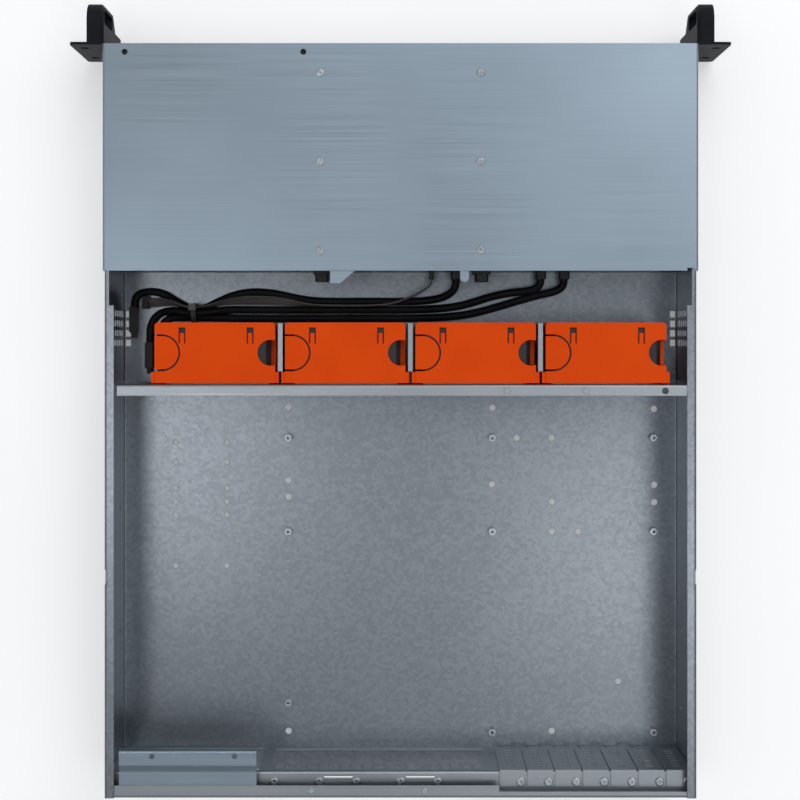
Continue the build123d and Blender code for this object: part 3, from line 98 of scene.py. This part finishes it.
# Flat cable: place of its first wire, and the step from wire to wire in Y and Z
WIRE_D = 1.5
FLAT_ROUTE = [
    (-24.0, 5.5, 8.6, 0, 1.75), (-24.0, 9.0, 8.6, 0, 1.75), (-18.0, 14.0, 8.6, 0, 1.75),
    (-6.0, 20.0, 8.6, 0, 1.75), (8.0, 24.6, 8.2, 0, 1.75), (24.0, 25.7, 7.2, 0, 1.75),
    (60.0, 25.7, 7.2, 0, 1.75), (74.0, 25.4, 6.8, -0.3, 1.73), (84.0, 25.0, 6.2, -0.9, 1.5),
    (96.0, 24.8, 5.4, -1.4, 1.1), (110.0, 24.6, 4.8, -1.5, 0.95), (122.0, 24.4, 5.4, -1.4, 1.1),
    (132.0, 24.4, 7.6, -0.9, 1.5), (143.0, 25.5, 10.2, -0.3, 1.73), (154.0, 27.0, 10.8, 0, 1.75),
    (164.0, 27.0, 10.8, 0, 1.75), (172.0, 25.4, 9.6, -0.5, 1.68), (179.0, 25.2, 7.4, -1.05, 1.4),
    (185.0, 25.8, 5.4, -1.4, 1.05), (190.0, 26.2, 5.0, -1.4, 1.05), (194.0, 26.2, 5.0, -1.4, 1.05),
]
WIRE_LENGTHS = (226.8, 227.5, 228.4, 229.6, 231.0)

# Smoothness of the cords: order of their line, steps along it and steps around it
LINE_ORDER = 3
LINE_STEPS = 8
ROUND_STEPS = 5

# Sheet metals: darkest and lightest colour, least and most roughness, streaks per metre along X, Y
# and Z, and crystal grains per metre where the coat shows them
ROLLED = (9, 1500, 1500)
SHEET_METALS = {
    "zinc_sheet": ((0.27, 0.335, 0.395), (0.33, 0.405, 0.475), (0.30, 0.42), ROLLED, None),
    # Base tray: a darker copy of the zinc, painted shade for the deep trough, over the real spangle
    # grains of its coat
    "tray_zinc_painted_shade": ((0.225, 0.250, 0.280), (0.275, 0.300, 0.332), (0.29, 0.33), (500, 500, 500), 420.0),
    # Walls: a lighter copy of the zinc, a painted sheen on the fan wall, rear panel and slot covers
    "wall_zinc_painted_sheen": ((0.32, 0.35, 0.38), (0.40, 0.43, 0.455), (0.30, 0.42), ROLLED, None),
    "screw_steel": ((0.34, 0.37, 0.40), (0.62, 0.65, 0.68), (0.22, 0.34), (300, 300, 300), None),
}
SHEET_CLOUDS = 7.0
STREAK_SHARE = 0.4
STREAK_DEPTH = 0.000008
SHEET_EDGE = 0.0005

# Plastics and paint: darkest and lightest colour, least and most roughness, grains per metre, their
# depth, and the strength of the gloss
MOULDINGS = {
    "black_paint": ((0.010, 0.011, 0.014), (0.020, 0.022, 0.027), (0.50, 0.62), 900.0, 0.0001, 0.1),
    "black_plastic": ((0.008, 0.008, 0.010), (0.018, 0.018, 0.021), (0.42, 0.55), 1400.0, 0.00006, 0.5),
    "rotor_plastic": ((0.008, 0.008, 0.010), (0.018, 0.018, 0.021), (0.30, 0.42), 1400.0, 0.00006, 0.5),
    "lever_plastic": ((0.016, 0.017, 0.019), (0.030, 0.031, 0.034), (0.42, 0.55), 1400.0, 0.00006, 0.5),
    "grey_plastic": ((0.13, 0.135, 0.14), (0.20, 0.205, 0.21), (0.42, 0.55), 1400.0, 0.00006, 0.5),
    "orange_plastic": ((0.92, 0.078, 0.001), (0.98, 0.090, 0.002), (0.55, 0.65), 1800.0, 0.00003, 0.1),
    "circuit_board": ((0.006, 0.034, 0.018), (0.010, 0.055, 0.028), (0.30, 0.42), 1400.0, 0.00006, 0.5),
    "cable_jacket": ((0.006, 0.006, 0.008), (0.016, 0.016, 0.018), (0.50, 0.62), 1400.0, 0.00006, 0.25),
    "wire_jacket": ((0.11, 0.098, 0.096), (0.20, 0.182, 0.178), (0.30, 0.42), 1400.0, 0.00006, 0.5),
}
MOULDING_CLOUDS = 26.0
GRAIN_SHARE = 0.5
MOULDING_EDGE = 0.0003

# Common to the materials: detail of the noises, where their colours start and end, strength of the
# relief and rays for the rounded edges
CLOUD_DETAIL, FINE_CLOUD_DETAIL, GRAIN_DETAIL = 3.0, 4.0, 2.0
RAMP_SPAN = (0.35, 0.65)
RELIEF_STRENGTH = 0.6
EDGE_SAMPLES = 4

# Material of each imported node, numbered nodes by the name before the number
NODE_MATERIALS = {
    "zinc_sheet": ("front_cover", "drive_cage", "psu_bracket"),
    "tray_zinc_painted_shade": ("base_tray",),
    "wall_zinc_painted_sheen": ("fan_wall", "rear_panel", "slot_covers"),
    "screw_steel": ("board_standoffs", "cover_screws", "rear_screws", "rim_rivets"),
    "black_paint": ("left_ear", "right_ear", "ear_screws"),
    "black_plastic": ("backplane_sockets", "power_plugs", "cable_plugs", "drive_tray", "fan_frame"),
    "rotor_plastic": ("fan_rotor",),
    "lever_plastic": ("tray_lever",),
    "grey_plastic": ("power_button", "cable_tie"),
    "orange_plastic": ("fan_shell",),
    "circuit_board": ("backplane",),
}

# Light: the dome's colours, the heights between which they change, its lean towards the front,
# and each lamp's place, size and power
DOME_LOW, DOME_HIGH = (0.20, 0.206, 0.216), (0.42, 0.43, 0.445)
DOME_SPAN = (0.0, 0.95)
DOME_LEAN = 0.35
LAMPS = {
    "key": ((-0.85, -1.45, 2.3), 2.0, 19.0),
    "fill": ((1.7, -0.2, 2.3), 1.6, 3.0),
    "left_glare": ((0.54, 0.15, 2.3), 0.42, 2.2),
    "right_glare": ((-0.6, 0.40, 2.3), 0.6, 2.6),
}

# Ground: half its size in X and Y, its depth under the case, its colours and its shine to the camera
GROUND = {
    "floor": (6.0, 6.0, 0.0003, (0.83, 0.83, 0.83), (0.86, 0.86, 0.86), 0.45),
    # The shade patch is painted shade: darker, dimmer ground under the case for the shadow seen through
    # its holes
    "shade": (0.213, 0.272, 0.0001, (0.30, 0.31, 0.33), (0.34, 0.35, 0.37), 0.26),
}
GROUND_CLOUDS = 3.0
GROUND_ROUGHNESS = 0.9


def add_node(tree, kind, **inputs):
    """New shader node with the values of its sockets."""
    node = tree.nodes.new(kind)
    for name, value in inputs.items():
        node.inputs[name].default_value = value
    return node


def noise(tree, scale, detail=CLOUD_DETAIL, stretch=(1, 1, 1)):
    """Noise in the frame's own metres, stretched along the axes."""
    place = tree.nodes.new("ShaderNodeTexCoord")
    fit = add_node(tree, "ShaderNodeMapping", Scale=stretch)
    texture = add_node(tree, "ShaderNodeTexNoise", Scale=scale, Detail=detail)
    tree.links.new(place.outputs["Object"], fit.inputs["Vector"])
    tree.links.new(fit.outputs["Vector"], texture.inputs["Vector"])
    return texture.outputs["Fac"]


def spangle(tree, scale):
    """Crystal grains of a zinc coat, each with its own grey."""
    place = tree.nodes.new("ShaderNodeTexCoord")
    texture = add_node(tree, "ShaderNodeTexVoronoi", Scale=scale)
    split = tree.nodes.new("ShaderNodeSeparateXYZ")
    tree.links.new(place.outputs["Object"], texture.inputs["Vector"])
    tree.links.new(texture.outputs["Color"], split.inputs["Vector"])
    return split.outputs["X"]


def ramp(tree, factor, low, high, span=RAMP_SPAN):
    """Colours or greys from low to high as the factor goes through its span."""
    node = tree.nodes.new("ShaderNodeValToRGB")
    for stop, place, colour in zip(node.color_ramp.elements, span, (low, high)):
        stop.position = place
        stop.color = (*colour, 1) if isinstance(colour, tuple) else (colour, colour, colour, 1)
    tree.links.new(factor, node.inputs["Fac"])
    return node.outputs["Color"]


def blend(tree, first, second, share):
    """Two noises mixed into one factor."""
    node = add_node(tree, "ShaderNodeMix", Factor=share)
    tree.links.new(first, node.inputs["A"])
    tree.links.new(second, node.inputs["B"])
    return node.outputs["Result"]


def relief(tree, shader, height, depth, edge):
    """Bump of that depth in metres, over edges that are rounded by a small radius."""
    bump = add_node(tree, "ShaderNodeBump", Strength=RELIEF_STRENGTH, Distance=depth)
    rounded = add_node(tree, "ShaderNodeBevel", Radius=edge)
    rounded.samples = EDGE_SAMPLES
    tree.links.new(height, bump.inputs["Height"])
    tree.links.new(rounded.outputs["Normal"], bump.inputs["Normal"])
    tree.links.new(bump.outputs["Normal"], shader.inputs["Normal"])


def new_material(name, metallic):
    """Material with one principled shader."""
    material = bpy.data.materials.new(name)
    material.use_nodes = True
    shader = material.node_tree.nodes["Principled BSDF"]
    shader.inputs["Metallic"].default_value = metallic
    return material, material.node_tree, shader


def sheet_metal(name, dark, light, rough, streaks, grains):
    """Zinc-plated sheet: cloudy patches, fine rolling streaks or grains and soft bright edges."""
    material, tree, shader = new_material(name, 1.0)
    clouds = noise(tree, SHEET_CLOUDS)
    rolled = noise(tree, 1.0, stretch=streaks)
    mixed = blend(tree, clouds, spangle(tree, grains) if grains else rolled, STREAK_SHARE)
    tree.links.new(ramp(tree, mixed, dark, light), shader.inputs["Base Color"])
    tree.links.new(ramp(tree, rolled, *rough), shader.inputs["Roughness"])
    relief(tree, shader, rolled, STREAK_DEPTH, SHEET_EDGE)
    return material


def moulding(name, dark, light, rough, grain, depth, specular):
    """Moulded plastic or powder paint: fine grain and slight changes of colour and gloss."""
    material, tree, shader = new_material(name, 0.0)
    shader.inputs["Specular IOR Level"].default_value = specular
    clouds = noise(tree, MOULDING_CLOUDS, FINE_CLOUD_DETAIL)
    grains = noise(tree, grain, GRAIN_DETAIL)
    mixed = blend(tree, clouds, grains, GRAIN_SHARE)
    tree.links.new(ramp(tree, clouds, dark, light), shader.inputs["Base Color"])
    tree.links.new(ramp(tree, mixed, *rough), shader.inputs["Roughness"])
    relief(tree, shader, grains, depth, MOULDING_EDGE)
    return material


def make_materials():
    """All materials of the case, by name."""
    materials = {name: sheet_metal(name, *look) for name, look in SHEET_METALS.items()}
    materials.update({name: moulding(name, *look) for name, look in MOULDINGS.items()})
    return materials


def make_camera():
    """Camera at the photograph's place."""
    data = bpy.data.cameras.new("camera")
    data.sensor_width = SENSOR_MM
    data.lens = FOCAL_PX * SENSOR_MM / IMAGE_PX
    data.shift_x = (IMAGE_PX / 2 - OPTICAL_AXIS_PX[0]) / IMAGE_PX
    data.shift_y = (OPTICAL_AXIS_PX[1] - IMAGE_PX / 2) / IMAGE_PX
    camera = bpy.data.objects.new("camera", data)
    camera.location = CAMERA_AT
    camera.rotation_euler = (0, 0, math.pi)
    bpy.context.collection.objects.link(camera)
    bpy.context.scene.camera = camera


def make_cord(name, node, route, diameter, material):
    """Round cord on a smooth line through the trough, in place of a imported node."""
    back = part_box("backplane")[1][1]
    points = [(x * MM, back + y * MM, z * MM) for x, y, z in route]
    data = bpy.data.curves.new(name, "CURVE")
    data.dimensions = "3D"
    data.bevel_depth = diameter / 2 * MM
    data.bevel_resolution = ROUND_STEPS
    data.resolution_u = LINE_STEPS
    data.use_fill_caps = True
    spline = data.splines.new("NURBS")
    spline.points.add(len(points) - 1)
    for knot, point in zip(spline.points, points):
        knot.co = (*point, 1)
    spline.order_u = LINE_ORDER
    spline.use_endpoint_u = True
    data.materials.append(material)
    cord = bpy.data.objects.new(name, data)
    bpy.context.collection.objects.link(cord)
    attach(cord, "chassis")
    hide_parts(node)


def make_harness(materials):
    """Three round cables and the five wires of the flat one."""
    for name, route in CABLES.items():
        make_cord(name + "_line", name, route, CABLE_D, materials["cable_jacket"])
    for i, length in enumerate(WIRE_LENGTHS):
        route = [(x, y + i * step_y, z + i * step_z) for x, y, z, step_y, step_z in FLAT_ROUTE]
        make_cord(f"wire_{i + 1}_line", "cable_4", route, WIRE_D, materials["wire_jacket"])


def dress_nodes(materials):
    """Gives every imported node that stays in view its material."""
    chosen = {kind: materials[name] for name, kinds in NODE_MATERIALS.items() for kind in kinds}
    for name in NODES:
        kind = name.rstrip("0123456789").rstrip("_")
        if kind in chosen:
            slots = NODES[name].data.materials
            slots.clear()
            slots.append(chosen[kind])


def ground_material(name, dark, light, shine):
    """Plain matt ground that the camera and the metal see lighter than the lamps make it."""
    material, tree, shader = new_material(name, 0.0)
    shader.inputs["Roughness"].default_value = GROUND_ROUGHNESS
    shader.inputs["Specular IOR Level"].default_value = 0.0
    shader.inputs["Emission Color"].default_value = (1, 1, 1, 1)
    tree.links.new(ramp(tree, noise(tree, GROUND_CLOUDS), dark, light), shader.inputs["Base Color"])
    rays = tree.nodes.new("ShaderNodeLightPath")
    seen = tree.nodes.new("ShaderNodeMath")
    seen.operation = "MAXIMUM"
    tree.links.new(rays.outputs["Is Camera Ray"], seen.inputs[0])
    tree.links.new(rays.outputs["Is Glossy Ray"], seen.inputs[1])
    strength = tree.nodes.new("ShaderNodeMath")
    strength.operation = "MULTIPLY"
    strength.inputs[1].default_value = shine
    tree.links.new(seen.outputs[0], strength.inputs[0])
    tree.links.new(strength.outputs[0], shader.inputs["Emission Strength"])
    return material


def make_stage():
    """Pale floor with the case's shadow, and a darker patch of painted shade under the case that shows
    through its holes.
    """
    for name, (half_x, half_y, depth, dark, light, shine) in GROUND.items():
        corners = [(-half_x, -half_y, 0), (half_x, -half_y, 0), (half_x, half_y, 0), (-half_x, half_y, 0)]
        mesh = bpy.data.meshes.new(name)
        mesh.from_pydata(corners, [], [(0, 1, 2, 3)])
        mesh.materials.append(ground_material(name, dark, light, shine))
        ground = bpy.data.objects.new(name, mesh)
        ground.location.z = CAD_BOX[0][2] - depth
        bpy.context.collection.objects.link(ground)


def make_lamp(name, place, size, power):
    """Soft square lamp turned towards the middle of the case."""
    data = bpy.data.lights.new(name, "AREA")
    data.size = size
    data.energy = power
    lamp = bpy.data.objects.new(name, data)
    lamp.location = place
    x, y, z = place
    lamp.rotation_euler = (math.atan2(math.hypot(x, y), z), 0, math.atan2(-y, -x) - math.pi / 2)
    bpy.context.collection.objects.link(lamp)


def make_light():
    """Soft studio light: a dome that is darker towards the horizon and broad lamps above."""
    world = bpy.data.worlds.new("studio")
    world.use_nodes = True
    tree = world.node_tree
    way = tree.nodes.new("ShaderNodeTexCoord")
    lean = add_node(tree, "ShaderNodeMapping", Rotation=(-DOME_LEAN, 0, 0))
    split = tree.nodes.new("ShaderNodeSeparateXYZ")
    tree.links.new(way.outputs["Generated"], lean.inputs["Vector"])
    tree.links.new(lean.outputs["Vector"], split.inputs["Vector"])
    dome = ramp(tree, split.outputs["Z"], DOME_LOW, DOME_HIGH, DOME_SPAN)
    tree.links.new(dome, tree.nodes["Background"].inputs["Color"])
    bpy.context.scene.world = world
    for name, lamp in LAMPS.items():
        make_lamp(name, *lamp)


make_camera()
all_materials = make_materials()
make_harness(all_materials)
dress_nodes(all_materials)
make_stage()
make_light()
bpy.context.scene.view_settings.view_transform = "Standard"
